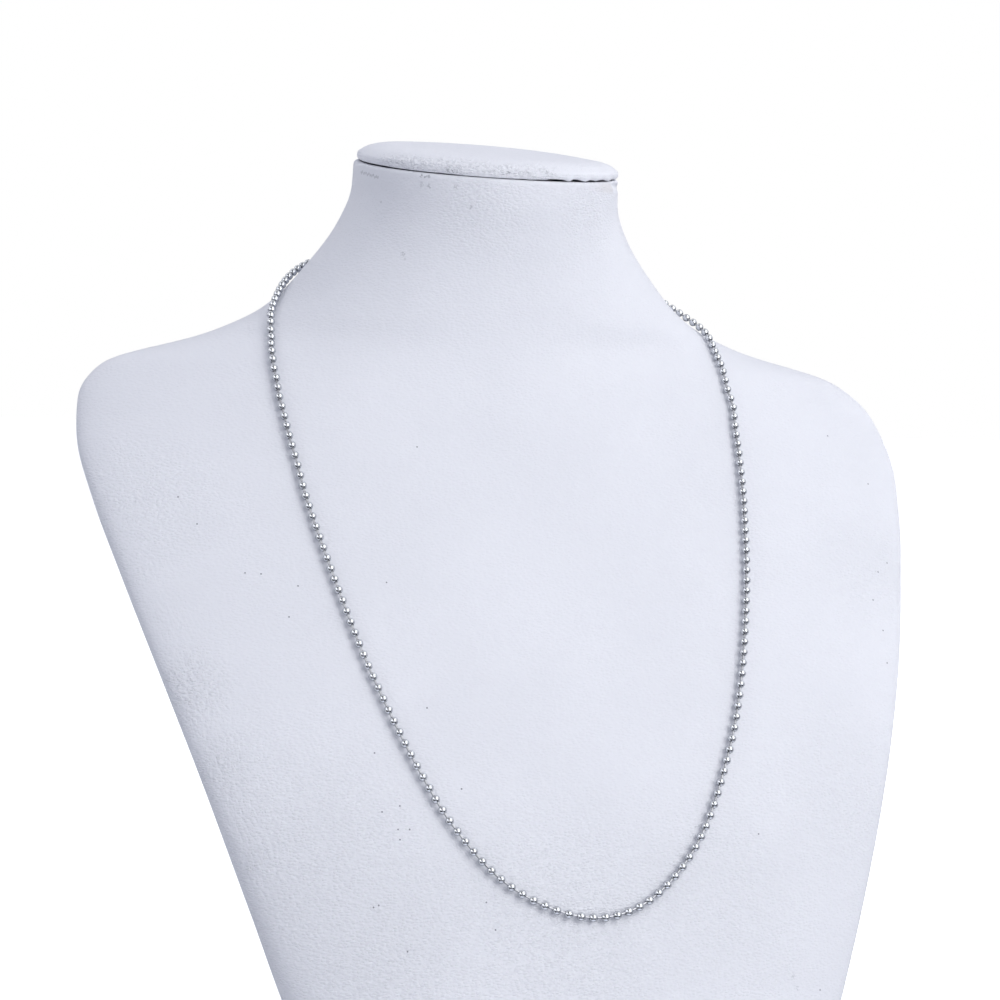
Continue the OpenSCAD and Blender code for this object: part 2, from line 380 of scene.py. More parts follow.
# How much the grain's creases and pores are darkened, as painted shade in these hollows.
CREASE_SHADE = 0.03
GRAIN_SIZES = {"Length": 1.25 * MM, "Height share": 0.48, "Slant": 0.16}
STRETCH_SIZES = {"Gap": 0.5 * MM, "Run": 14 * MM, "Slant": 0.35}


def painted_mask(tree, name):
    """The value of a mask that is painted on the mesh."""
    return add_node(tree, "ShaderNodeAttribute", attribute_name=name).outputs["Fac"]


def mask_of_smudges(tree, spots):
    """The strongest of several smudges at each place."""
    whole = None
    for place, radius, strokes, strength in spots:
        feeds = {"Place": place, "Radius": radius, "Strokes": strokes, "Strength": strength}
        one = place_group(tree, smudge, feeds).outputs["Mask"]
        whole = one if whole is None else maths(tree, "MAXIMUM", whole, one)
    return whole


def tinted(tree, share, under, over):
    """Mixes a colour over another by a share."""
    mix = add_node(tree, "ShaderNodeMix", data_type="RGBA")
    tree.links.new(share, mix.inputs["Factor"])
    for name, value in (("A", under), ("B", over)):
        socket = [s for s in mix.inputs if s.name == name and s.type == "RGBA"][0]
        if isinstance(value, bpy.types.NodeSocket):
            tree.links.new(value, socket)
        else:
            socket.default_value = value
    return [s for s in mix.outputs if s.type == "RGBA"][0]


def leatherette(name, white, grain_depth, pore_shade, scuffs, stains=()):
    """White leatherette with painted shade in its creases, pores and seam. Scuffs and stains are
    lists of place, radius, strokes and strength.
    """
    material, tree, shader = new_material(name)
    grain_share = painted_mask(tree, "grain")
    grain = place_group(tree, pebble_grain, GRAIN_SIZES)
    lines = place_group(tree, stretch_lines, STRETCH_SIZES)
    pebbles = maths(tree, "MULTIPLY", grain.outputs["Height"], grain_share)
    streaks = maths(tree, "MULTIPLY", lines.outputs["Height"], painted_mask(tree, "stretch"))
    height = maths(tree, "ADD", pebbles, streaks)
    bump = add_node(tree, "ShaderNodeBump", {"Height": height, "Distance": grain_depth})
    tree.links.new(bump.outputs["Normal"], shader.inputs["Normal"])

    clouds = noise(tree, object_place(tree), 22.0, 4.0)
    tone = smooth_range(tree, clouds, 0.3, 0.7, 0.0, CLOUD_TONE)
    skin = tinted(tree, tone, white, HIDE_GREY_AND_SHADE)
    # Painted shade: the creases and pores darken where the grain mask shows them.
    for part, part_shade in (("Crease", CREASE_SHADE), ("Pore", pore_shade)):
        shown = maths(tree, "MULTIPLY", grain.outputs[part], grain_share)
        skin = tinted(tree, maths(tree, "MULTIPLY", shown, part_shade), skin, HIDE_GREY_AND_SHADE)
    if scuffs:
        skin = tinted(tree, mask_of_smudges(tree, scuffs), skin, HIDE_GREY_AND_SHADE)
    if stains:
        skin = tinted(tree, mask_of_smudges(tree, stains), skin, STAIN_BROWN)
    # Painted shade: corners that look into the seam are darkened.
    skin = tinted(tree, painted_mask(tree, "inside"), skin, SEAM_PAINTED_SHADE)
    tree.links.new(skin, shader.inputs["Base Color"])
    rough = smooth_range(tree, clouds, 0.3, 0.7, 0.50, 0.60)
    tree.links.new(rough, shader.inputs["Roughness"])
    shader.inputs["IOR"].default_value = 1.45
    return material


print("colours of the skin:", HIDE_WHITE[:3], "on the bust,", CAP_LIT_WHITE[:3], "on the cap")

# %% [markdown]
# ## The bust's cover
#
# The real cover is drawn tight over a hard form, so it shows no folds below the neck. The CAD
# solid already has that form, but in flat facets. A copy of it is merged, its triangles are
# paired into quads, and Subdivision Surface rounds it, which keeps the form to a tenth of a
# millimetre and needs no sculpting. The neck's cut, which slants forward, gets an inset ring
# first, so that its edge stays crisp.


# %% Copy a CAD node
def copied(node, name):
    """A piece of its own with the mesh of a CAD node, merged and paired into quads."""
    piece = bpy.data.objects.new(name, bpy.data.objects[node].data.copy())
    bpy.context.collection.objects.link(piece)
    piece.data.materials.clear()
    only(piece)
    edit_mode()
    bpy.ops.mesh.select_all(action="SELECT")
    bpy.ops.mesh.remove_doubles(threshold=1e-6)
    bpy.ops.mesh.tris_convert_to_quads(
        face_threshold=math.radians(100), shape_threshold=math.radians(160)
    )
    object_mode()
    return piece


def rounded(cover):
    """Rounds a cover with Subdivision Surface and shades it smooth."""
    add_modifier(cover, "SUBSURF", levels=2, render_levels=2)
    bpy.ops.object.shade_smooth()
    print(cover.name, "has", len(cover.data.polygons), "faces")


NECK_SLANT = math.radians(7.5)
NECK_PART = 200 * MM
RIM_INSET = 0.9 * MM
rim_up = np.array([0.0, -math.sin(NECK_SLANT), math.cos(NECK_SLANT)])
cut_way = Vector(rim_up)
bust_cover = copied("bust", "bust_cover")
only(bust_cover)
edit_mode()
pick_faces(bust_cover, lambda middle, normal: normal @ cut_way > 0.99 and middle.z > NECK_PART)
bpy.ops.mesh.inset(thickness=RIM_INSET)
object_mode()
rounded(bust_cover)

# %% Where a picture place lies on the cover
cover_tree = BVHTree.FromObject(bust_cover, bpy.context.evaluated_depsgraph_get())


def seen_on(tree, x, y):
    """The place on a surface that shows at a place in the picture, and its normal."""
    place, normal, _, _ = tree.ray_cast(eye, picture_way(x, y))
    if place is None:
        raise ValueError(f"nothing at {x}, {y}")
    return place, normal


def on_cover(x, y):
    """The place on the bust's cover that shows at a place in the picture."""
    return seen_on(cover_tree, x, y)[0]


print("the chest at the picture's middle:", [round(c / MM, 1) for c in on_cover(500, 520)])

# %% [markdown]
# ## Where the grain shows
#
# The skin was pulled hardest over the chest, where it is almost smooth. Low on the sides, where
# it was only laid down, the pebbles stand up. On the edge of the bust's right side fine lines
# run along the pull. Masks painted on the mesh say so, each made of a few soft blobs.


# %% Paint a mask on a mesh
def write_mask(piece, name, mask):
    """Keeps a mask on the mesh, one value for each corner, for the material to read."""
    layer = piece.data.attributes.new(name, "FLOAT", "POINT")
    layer.data.foreach_set("value", mask)


def paint(piece, name, base, blobs):
    """Writes a mask on the mesh: base, and up to a strength round each place."""
    places = corners_of(piece)
    mask = np.full(len(places), base)
    for middle, reach, strength in blobs:
        away = np.linalg.norm(places - np.array(middle), axis=1) / reach
        mask = np.maximum(mask, strength * np.exp(-(away**2)))
    write_mask(piece, name, mask)
    return mask


# Each blob: place in the picture, reach in mm and strength.
GRAIN_BASE = 0.36
GRAIN_BLOBS = [
    ((250, 780), 45, 0.5), ((300, 880), 55, 0.85), ((380, 960), 50, 0.85), ((190, 690), 14, 1.0),
    ((225, 770), 14, 1.0), ((260, 860), 14, 1.0), ((150, 500), 30, 0.75), ((560, 940), 50, 0.85),
    ((720, 900), 45, 0.75), ((830, 800), 45, 0.65), ((870, 560), 35, 0.6), ((480, 210), 20, 0.75),
    ((590, 210), 18, 0.7),
]  # fmt: skip
STRETCH_BASE = 0.12
STRETCH_BLOBS = [
    ((112, 460), 10, 1.5), ((125, 500), 10, 1.5), ((145, 570), 9, 2.0), ((163, 620), 9, 2.5),
    ((182, 670), 9, 3.0), ((200, 715), 9, 3.0), ((218, 760), 9, 3.0), ((238, 810), 9, 2.5),
    ((258, 860), 9, 2.0),
]  # fmt: skip


def blobs_on_cover(blobs):
    """Gives each blob its place on the cover instead of its place in the picture."""
    return [(on_cover(*spot), reach * MM, strength) for spot, reach, strength in blobs]


grain_mask = paint(bust_cover, "grain", GRAIN_BASE, blobs_on_cover(GRAIN_BLOBS))
paint(bust_cover, "stretch", STRETCH_BASE, blobs_on_cover(STRETCH_BLOBS))
print("grain mask from", round(grain_mask.min(), 2), "to", round(grain_mask.max(), 2))

# %% [markdown]
# Marks are given by their place in the picture, radius in millimetres, share of strokes and
# strength. A long scratch near the rim is a run of small marks along a crooked line.

# %% Smudges on the bust
BUST_SCUFFS = [
    ((421, 175.5), 0.8, 1, 0.7), ((425, 176), 0.8, 1, 0.7), ((429, 176.5), 0.8, 1, 0.6),
    ((422, 184), 1.1, 1, 0.35), ((429, 186), 1.0, 1, 0.45), ((455, 187), 1.1, 1, 0.35),
    ((381, 202), 0.5, 0, 0.3), ((470, 207), 0.8, 1, 0.45), ((403, 254), 1.0, 1, 0.4),
    ((405, 259), 0.5, 0, 0.25), ((793, 976), 1.0, 1, 0.35), ((798, 988), 0.9, 1, 0.35),
]  # fmt: skip
BUST_STAINS = [
    ((592, 186), 2.0, 0, 0.06), ((597, 186.5), 2.2, 0, 0.1), ((601, 187), 2.3, 0, 0.14),
    ((604.5, 187), 2.4, 0, 0.17), ((607.5, 187.5), 2.4, 0, 0.2), ((610, 187.5), 2.4, 0, 0.22),
    ((612, 188), 2.3, 0, 0.22),
]  # fmt: skip
SCRATCH_STEPS = 14
SCRATCH_START = (361, 172)
SCRATCH_RUN = 17
SCRATCH_SLOPE = 0.32
SCRATCH_SWING = 0.9
SCRATCH_MARK = (0.6, 0.3, 0.55)


def scratch_marks():
    """The marks of the scratch, with growing steps to the right and a small swing up and down."""
    marks = []
    left, top = SCRATCH_START
    for step in range(SCRATCH_STEPS):
        column = left + SCRATCH_RUN * (step / (SCRATCH_STEPS - 1)) ** 1.25
        row = top + SCRATCH_SLOPE * (column - left) + SCRATCH_SWING * math.sin(2.4 * step)
        marks.append(((column, row), *SCRATCH_MARK))
    return marks


def marks_on(where, marks):
    """Gives each mark its place on a cover instead of its place in the picture."""
    return [(where(*spot), radius * MM, *kind) for spot, radius, *kind in marks]


BUST_GRAIN_DEPTH = 0.15 * MM
# The pores' darkening is painted shade.
BUST_PORE_SHADE = 0.05
bust_scuffs = marks_on(on_cover, BUST_SCUFFS + scratch_marks())
bust_stains = marks_on(on_cover, BUST_STAINS)
bust_skin = leatherette(
    "leatherette_bust", HIDE_WHITE, BUST_GRAIN_DEPTH, BUST_PORE_SHADE, bust_scuffs, bust_stains
)
bust_cover.data.materials.append(bust_skin)
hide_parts("bust")
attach(bust_cover, "root")
print("smudges on the bust:", len(bust_scuffs) + len(bust_stains))

# %% [markdown]
# ## Pinholes
#
# Pieces of jewellery are pinned to such a bust, and each pin leaves a hole of half a millimetre
# with a low rim pushed up round it. They could be painted, but a real dent catches the light from
# every side. One is modelled: a disc whose middle is inset and sunk. Its dark grey is painted shade
# in the hole. The rest are copies, each laid a hair above the skin and turned to its normal.

# %% One pinhole
PINHOLE_SIDES = 10
PINHOLE_RADIUS = 0.24 * MM
PINHOLE_RIM = 0.3 * PINHOLE_RADIUS
PINHOLE_DEPTH = 0.03 * MM
PINHOLE_LIFT = 0.045 * MM


def pinhole_model():
    """A small disc whose middle is sunk."""
    circle = bpy.ops.mesh.primitive_circle_add
    hole = start_from(circle, vertices=PINHOLE_SIDES, radius=PINHOLE_RADIUS, fill_type="NGON")
    edit_mode()
    bpy.ops.mesh.select_all(action="SELECT")
    bpy.ops.mesh.inset(thickness=PINHOLE_RIM)
    bpy.ops.transform.translate(value=(0, 0, -PINHOLE_DEPTH))
    object_mode()
    return hole


PINHOLES = [
    (245, 573), (261, 574), (298, 586), (289, 617), (386.5, 582.5), (417, 447), (197, 524),
    (178, 497), (374.5, 753), (382, 812), (399.8, 806), (398, 829.5), (409.6, 829.5),
    (400, 839.7), (378.7, 905.5), (373.5, 907.5), (461.5, 789), (427, 708), (486.3, 902.5),
    (495.5, 930), (407.5, 951.7), (827.6, 436), (758.5, 834), (868, 484), (887, 563),
    (878, 572), (873, 600), (883, 630.5), (887, 663), (820, 990),
]  # fmt: skip


# %% All pinholes
def join_copies(model, places, name):
    """Copies a model to each place, joins the copies into one piece and puts it at the origin."""
    copies = []
    for place in places:
        copy = bpy.data.objects.new(name, model.data.copy())
        bpy.context.collection.objects.link(copy)
        copy.matrix_world = place
        copies.append(copy)
    bpy.data.objects.remove(model)
    only(copies[0])
    for copy in copies:
        copy.select_set(True)
    bpy.ops.object.join()
    bpy.ops.object.transform_apply(location=True, rotation=True, scale=True)
    copies[0].name = name
    return copies[0]


def laid(place, normal, lift):
    """A turn and a place that lay a flat model on a skin."""
    turn = normal.to_track_quat("Z", "Y").to_matrix().to_4x4()
    return Matrix.Translation(place + normal * lift) @ turn


pin_places = [laid(*seen_on(cover_tree, *spot), PINHOLE_LIFT) for spot in PINHOLES]
pin_holes = join_copies(pinhole_model(), pin_places, "pin_holes")


def dusty(name, scale, dark, light):
    """A matt material that changes softly between two tones."""
    material, tree, shader = new_material(name)
    dust = noise(tree, object_place(tree), scale)
    tree.links.new(tinted(tree, dust, dark, light), shader.inputs["Base Color"])
    shader.inputs["Roughness"].default_value = 0.9
    return material, tree, shader


# The holes' dark grey is painted shade inside the holes.
pin_shade, _, _ = dusty("pinhole_shade", 3000.0, (0.22, 0.22, 0.25, 1), (0.34, 0.34, 0.38, 1))
pin_holes.data.materials.append(pin_shade)
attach(pin_holes, "root")
print("pinholes:", len(PINHOLES))

# %% [markdown]
# ## The neck's cap
#
# The cap is a padded board: leatherette over foam, its edge tucked under. The cap starts from
# the same kind of copy as the bust. Its corners are then moved in three steps. First its upper
# edge is rounded like a pillow's, its crown is filled, and its lower edge is drawn out to the
# seam. Then the lower edge gathers in small scallops, which are deepest over the last part of
# the seam: down in each scallop and up between two. Last the foam is made a little uneven.

# %% The cap's cover
cap_cover = copied("neck_cap", "cap_cover")
rounded(cap_cover)
cap_tree = BVHTree.FromObject(cap_cover, bpy.context.evaluated_depsgraph_get())
cap_low, cap_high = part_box("neck_cap")
cap_middle = (Vector(cap_low) + Vector(cap_high)) / 2


def on_cap(x, y):
    """The place on the cap that shows at a place in the picture."""
    return seen_on(cap_tree, x, y)[0]


print("the cap's middle in mm:", [round(c / MM, 1) for c in cap_middle])


# %% Measures on the cap
def cap_measures(places):
    """Height over the seam, angle round the middle, distance from it and the way outwards."""
    heights = places @ rim_up
    outward = places - np.array(cap_middle)
    outward -= np.outer(outward @ rim_up, rim_up)
    reaches = np.linalg.norm(outward, axis=1)
    turns = np.arctan2(outward[:, 1], outward[:, 0])
    return heights - heights.min(), turns, reaches, outward / np.maximum(reaches, 1e-9)[:, None]


def inward_of(turns, reaches):
    """How far places lie in from the cap's edge, as the CAD solid has it."""
    return np.interp(turns, steps, edge_by_step) - reaches


heights, turns, reaches, _ = cap_measures(corners_of(cap_cover))
steps = np.radians(np.arange(-180, 181, 3))
edge_by_step = [reaches[np.abs(turns - step) < math.radians(3)].max() for step in steps]
print("the cap is", round(heights.max() / MM, 2), "mm high")

# %% A soft, full edge
WIDEST = 1.3 * MM
SIDE_TOP = 3.6 * MM
SHOULDER = 8.6 * MM
SHOULDER_RISE = 3.68 * MM
CROWN_RISE = 0.5 * MM
CROWN_REACH = 30 * MM
UNDER_EDGE = 4 * MM
UNDER_SHARE = 0.35
SEAM_DROP = 0.12 * MM
DROP_REACH = 2.5 * MM
FULLER = 0.15 * MM
WIDEST_IN = 0.45 * MM


def soft_edge(places):
    """Rounds the cap's upper edge like a pillow's and draws its lower edge out to the seam."""
    heights, turns, reaches, outward = cap_measures(places)
    inward = np.maximum(inward_of(turns, reaches), 0)
    upper = heights > WIDEST
    climb = np.clip((np.minimum(heights, SIDE_TOP) - WIDEST) / SHOULDER_RISE, 0, 1)
    roll = SHOULDER * (1 - np.sqrt(1 - climb**2)) * np.clip(1 - inward / SHOULDER, 0, 1)
    near = np.clip(inward / UNDER_EDGE, 0, 1)
    tuck = inward * (UNDER_SHARE + (1 - UNDER_SHARE) * near * near * (3 - 2 * near))
    new_inward = np.where(upper, inward + roll, tuck)
    share = np.clip((new_inward - WIDEST_IN) / SHOULDER, 0, 1)
    crown = CROWN_RISE * np.clip(new_inward / CROWN_REACH, 0, 1)
    pillow = WIDEST + SHOULDER_RISE * np.sqrt(1 - (1 - share) ** 2) + crown
    new_heights = np.where(upper, np.maximum(pillow, heights), heights)
    new_heights -= SEAM_DROP * np.clip(1 - heights / DROP_REACH, 0, 1)
    grown = inward - new_inward + FULLER * np.clip(1 - inward / SHOULDER, 0, 1)
    return places + np.outer(new_heights - heights, rim_up) + grown[:, None] * outward


move_corners(cap_cover, soft_edge(corners_of(cap_cover)))
cap_tree = BVHTree.FromObject(cap_cover, bpy.context.evaluated_depsgraph_get())
print("the soft edge is", SHOULDER / MM, "mm wide")

# %% Scallops on the cap's lower edge
FRONT_FROM = math.radians(-168)
FRONT_TO = math.radians(-4)
LOWER_EDGE = 0.9 * MM
EDGE_BAND = 0.5 * MM
# Each tuck: column of the picture, and how far the edge is lifted there in mm.
TUCKS = [
    (381, 0.0), (390, -0.1), (403, -0.12), (412, -0.18), (430, -0.19), (442, -0.13),
    (452, -0.18), (464, -0.25), (482, -0.23), (496, -0.23), (512, -0.22), (522, -0.12),
    (530, -0.21), (538, -0.09), (546, -0.02), (549, 0.18), (556, 0.24), (564, 0.14),
    (567.5, -0.24), (570, -0.18), (573, 0.28), (577, 0.32), (580, 0.14), (584.5, -0.26),
    (587, -0.08), (590, 0.2), (593, 0.15), (596, -0.08), (599, 0.14), (603, 0.24), (606, 0.0),
    (608, -0.24), (611, 0.12), (614, 0.14),
]  # fmt: skip


def turns_at_seam(columns):
    """The angles round the cap at which its lower edge shows in these columns of the picture."""
    places = corners_of(cap_cover)
    heights, turns, reaches, _ = cap_measures(places)
    front = (turns > FRONT_FROM) & (turns < FRONT_TO)
    edge = front & (heights < LOWER_EDGE) & (inward_of(turns, reaches) < EDGE_BAND)
    shown = picture_places(places[edge])[:, 0]
    order = np.argsort(turns[edge])
    return np.interp(columns, np.maximum.accumulate(shown[order]), turns[edge][order])


tuck_turns = turns_at_seam([column for column, _ in TUCKS])
tuck_lifts = np.array([lift for _, lift in TUCKS]) * MM
print("scallops from", np.degrees(tuck_turns[[0, -1]]).round(1), "degrees")


# %% Finer faces for the scallops
def refine_seam(reach):
    """Halves the faces along the scalloped part of the edge, up to a height over the seam."""
    faces = cap_cover.data.polygons
    heights, turns, _, _ = cap_measures(np.array([face.center for face in faces]))
    sides = np.array([abs(face.normal @ cut_way) < 0.95 for face in faces])
    along_seam = (turns > tuck_turns[0] - 0.05) & (turns < tuck_turns[-1] + 0.1)
    only(cap_cover)
    edit_mode()
    bpy.ops.mesh.select_mode(type="FACE")
    bpy.ops.mesh.select_all(action="DESELECT")
    object_mode()
    faces.foreach_set("select", sides & along_seam & (heights < reach))
    edit_mode()
    bpy.ops.mesh.subdivide(number_cuts=1, smoothness=0)
    object_mode()


for height in (3.2 * MM, 2.4 * MM):
    refine_seam(height)
print("cap cover:", len(cap_cover.data.polygons), "faces")

# %% The tucks
TUCK_HEIGHT = 1.3 * MM
TUCK_IN = 0.6
cap_places = corners_of(cap_cover)
heights, turns, _, outward = cap_measures(cap_places)
lifts = np.interp(turns, tuck_turns, tuck_lifts, left=0.0, right=0.0)
lifts *= np.exp(-((heights / TUCK_HEIGHT) ** 2))
move_corners(cap_cover, cap_places + np.outer(lifts, rim_up) - TUCK_IN * lifts[:, None] * outward)
print("tucks from", round(lifts.min() / MM, 2), "to", round(lifts.max() / MM, 2), "mm")

# %% The foam is uneven
# Each swell: place in the picture, reach in mm and how far the skin is lifted in mm.
CAP_SWELLS = [((366, 152), 8, -0.25), ((430, 145), 16, 0.15), ((550, 153), 22, -0.9)]
SWELL_FROM = 3 * MM
CAP_SHIFT = 0.4 * MM
cap_places = corners_of(cap_cover)
heights = cap_measures(cap_places)[0]
for spot, reach, swell in CAP_SWELLS:
    away = np.linalg.norm(cap_places - np.array(on_cap(*spot)), axis=1) / (reach * MM)
    share = np.exp(-(away**2)) * np.clip(heights / SWELL_FROM, 0, 1)
    cap_places += np.outer(swell * MM * share, rim_up)
cap_places[:, 0] += CAP_SHIFT
move_corners(cap_cover, cap_places)
cap_tree = BVHTree.FromObject(cap_cover, bpy.context.evaluated_depsgraph_get())
print("uneven places on the cap:", len(CAP_SWELLS))

# %% [markdown]
# ## The seam
#
# Between cap and neck lies a dark seam, a narrow gap into which little light falls. The two faces
# that meet there are darkened from a little way in, as painted shade in the gap. At its right end
# the neck's skin is folded in too far and leaves a small notch below the seam.

# %% The seam's painted shade
NECK_SHADE_FROM = 1.3 * MM
CAP_SHADE_FROM = 0.7 * MM


def seam_shade_mask(piece, side, start):
    """Marks the corners that get painted shade on the face that looks into the seam, from a way in
    from its edge.
    """
    places = corners_of(piece)
    normals = np.array([corner.normal for corner in piece.data.vertices])
    _, turns, reaches, _ = cap_measures(places)
    within = (places[:, 2] > NECK_PART) & (inward_of(turns, reaches) > start)
    return (within & (side * normals @ rim_up > 0.95)).astype(float)


bust_seam_shade = seam_shade_mask(bust_cover, 1, NECK_SHADE_FROM)
cap_seam_shade = seam_shade_mask(cap_cover, -1, CAP_SHADE_FROM)
# The seam's painted shade is kept on both covers as the mask called inside.
write_mask(bust_cover, "inside", bust_seam_shade)
write_mask(cap_cover, "inside", cap_seam_shade)
print("dark corners:", int(bust_seam_shade.sum()), "on the neck,", int(cap_seam_shade.sum()), "on the cap")

# %% The notch at the seam's right end
NOTCH_SPOT = (616.3, 186)
NOTCH_DEPTH = 0.9 * MM
NOTCH_BESIDE = 9 * MM
NOTCH_HEIGHT = 0.9 * MM
notch_place, notch_normal = seen_on(cover_tree, *NOTCH_SPOT)
bust_places = corners_of(bust_cover)
from_notch = bust_places - np.array(notch_place)
beside = np.linalg.norm(from_notch[:, :2], axis=1) / NOTCH_BESIDE
near_notch = np.exp(-((from_notch[:, 2] / NOTCH_HEIGHT) ** 2) - beside**2)
move_corners(bust_cover, bust_places - np.outer(NOTCH_DEPTH * near_notch, np.array(notch_normal)))
print("notch at", [round(c / MM, 1) for c in notch_place], "mm")

# %% Masks and smudges on the cap
# The cap's grain is strongest in a band along its front, from column to column of the picture.
BAND_COLUMNS = range(388, 545, 12)
BAND_REACH = 5 * MM
CAP_GRAIN_BASE = 0.3
CAP_STRETCH_BASE = 0.1
grain_band = [(on_cap(x, 160 + 0.09 * (x - 400)), BAND_REACH, 1.0) for x in BAND_COLUMNS]
paint(cap_cover, "grain", CAP_GRAIN_BASE, grain_band)
paint(cap_cover, "stretch", CAP_STRETCH_BASE, [])
CAP_SCUFFS = [
    ((448, 170), 0.8, 1, 0.6), ((452, 171.5), 0.9, 1, 0.7), ((457, 171), 0.8, 1, 0.6),
    ((461, 173), 0.7, 1, 0.5), ((503, 173), 0.7, 1, 0.5), ((508, 172.5), 0.9, 1, 0.65),
    ((519, 173), 0.7, 1, 0.35), ((528, 173), 0.7, 1, 0.35), ((541, 171), 0.9, 1, 0.6),
    ((547, 172), 0.9, 1, 0.5), ((553, 173), 0.7, 1, 0.4),
]  # fmt: skip
CAP_GRAIN_DEPTH = 0.2 * MM
# The pores' darkening is painted shade, stronger on the cap.
CAP_PORE_SHADE = 0.4
cap_scuffs = marks_on(on_cap, CAP_SCUFFS)
cap_skin = leatherette("leatherette_cap", CAP_LIT_WHITE, CAP_GRAIN_DEPTH, CAP_PORE_SHADE, cap_scuffs)
cap_cover.data.materials.append(cap_skin)
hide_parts("neck_cap")
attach(cap_cover, "root")
print("scuffs on the cap:", len(cap_scuffs))

# %% [markdown]
# ## Polished steel
#
# The beads are rolled from stainless strip and tumbled until they shine. A metal shader with a
# little roughness does most of it. A fine noise makes the roughness uneven, as handling does.
# The links between the beads are drawn wire, which is a little duller.

# %% Steel
BEAD_DARK = (0.59, 0.61, 0.64, 1)
BEAD_LIGHT = (0.69, 0.71, 0.74, 1)
WIRE_DARK = (0.44, 0.45, 0.48, 1)
WIRE_LIGHT = (0.54, 0.55, 0.58, 1)
EDGE_TINT = (0.4, 0.4, 0.43, 1)


def steel_material(name, dark, light, rough_low, rough_high):
    """Steel between two tones and two values of roughness."""
    material, tree, shader = new_material(name)
    place = object_place(tree)
    rough = smooth_range(tree, noise(tree, place, 900.0, 3.0), 0.35, 0.7, rough_low, rough_high)
    tree.links.new(rough, shader.inputs["Roughness"])
    tone = tinted(tree, noise(tree, place, 120.0), dark, light)
    tree.links.new(tone, shader.inputs["Base Color"])
    shader.inputs["Metallic"].default_value = 1.0
    shader.inputs["Specular Tint"].default_value = EDGE_TINT
    return material


steel = steel_material("polished_steel", BEAD_DARK, BEAD_LIGHT, 0.16, 0.26)
drawn_steel = steel_material("drawn_steel", WIRE_DARK, WIRE_LIGHT, 0.28, 0.38)
print("steel:", len(steel.node_tree.nodes), "nodes")

# %% [markdown]
# ## Where the beads lie
#
# The CAD chain says exactly where each bead is. Its mesh holds the same ball 185 times, one
# after the other, so the middle of each run of corners is the middle of a bead.

# %% Middles of the beads
BEAD_RADIUS = 1.2 * MM
OVER_ONE_BEAD = 2.02 * BEAD_RADIUS


def bead_middles():
    """The middle of each bead of the CAD chain, in order along the chain."""
    places = corners_of(bpy.data.objects["chain_beads"])
    starts = [0]
    low, high = places[0].copy(), places[0].copy()
    for index, place in enumerate(places):
        new_low, new_high = np.minimum(low, place), np.maximum(high, place)
        if (new_high - new_low).max() > OVER_ONE_BEAD:
            starts.append(index)
            new_low, new_high = place.copy(), place.copy()
        low, high = new_low, new_high
    ends = starts[1:] + [len(places)]
    return [
        Vector((places[a:b].min(axis=0) + places[a:b].max(axis=0)) / 2)
        for a, b in zip(starts, ends)
    ]


beads = bead_middles()
gaps = [(b - a).length / MM for a, b in zip(beads, beads[1:])]
print(len(beads), "beads,", round(min(gaps), 3), "to", round(max(gaps), 3), "mm apart")

# %% [markdown]
# ## The bead
#
# A real bead is a tiny hollow ball with a hole at each pole. A sphere of 12 by 7 faces is
# enough at this size, since 185 of them have to stay light. Its pole fans are deleted, and the
# two holes are bridged by a short bore, so that the ball is closed.

# %% One bead
BEAD_SIDES = 12
BEAD_RINGS = 7


def bead_model():
    """One bead at the origin, with its bore along z."""
    ball = bpy.ops.mesh.primitive_uv_sphere_add
    bead = start_from(ball, segments=BEAD_SIDES, ring_count=BEAD_RINGS, radius=BEAD_RADIUS)
    edit_mode()
    pick_faces(bead, lambda middle, normal: abs(normal.z) > 0.93)
    bpy.ops.mesh.delete(type="FACE")
    object_mode()
    rim = max(corner.co.z for corner in bead.data.vertices if corner.co.xy.length > 0.1 * MM)
    edit_mode()
    bpy.ops.mesh.select_mode(type="EDGE")
    bpy.ops.mesh.select_all(action="DESELECT")
    bpy.ops.mesh.select_non_manifold()
    bpy.ops.mesh.bridge_edge_loops()
    bpy.ops.mesh.select_all(action="SELECT")
    bpy.ops.mesh.normals_make_consistent(inside=False)
    object_mode()
    bpy.ops.object.shade_smooth_by_angle(angle=math.radians(40))
    print("one bead:", len(bead.data.polygons), "faces, hole at", round(rim / MM, 2), "mm")
    return bead


# %% [markdown]
# All beads are copies of that one, turned so that the bore follows the chain. The links need
# the same two things, a place and a way along the chain.


# %% The row of beads
def along(place, way):
    """A turn and a place that carry a model's z axis along the chain."""
    return Matrix.Translation(place) @ way.to_track_quat("Z", "Y").to_matrix().to_4x4()


def chain_way(index):
    """The chain's way at a bead, from the bead before to the bead after."""
    before, after = max(index - 1, 0), min(index + 1, len(beads) - 1)
    return (beads[after] - beads[before]).normalized()


bead_places = [along(bead, chain_way(index)) for index, bead in enumerate(beads)]
bead_row = join_copies(bead_model(), bead_places, "bead_row")
bead_row.data.materials.append(steel)
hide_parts("chain_beads")
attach(bead_row, "root")
print("bead row:", len(bead_row.data.polygons), "faces")

# %% [markdown]
# ## The links
#
# Between two beads a short rod shows, bright and as thick as a pin. In a real chain each rod
# ends in a small head inside the bead. So the link is a rod whose two ends are extruded into
# heads, and it just fills the gap and the mouths of the two bores.

# %% One link
LINK_SIDES = 8
ROD_RADIUS = 0.32 * MM
HEAD_RADIUS = 0.45 * MM
ROD_HALF = 0.75 * MM
HEAD_LENGTH = 0.3 * MM
FLARE_SHARE = 0.3
HEAD_TIP = 0.7


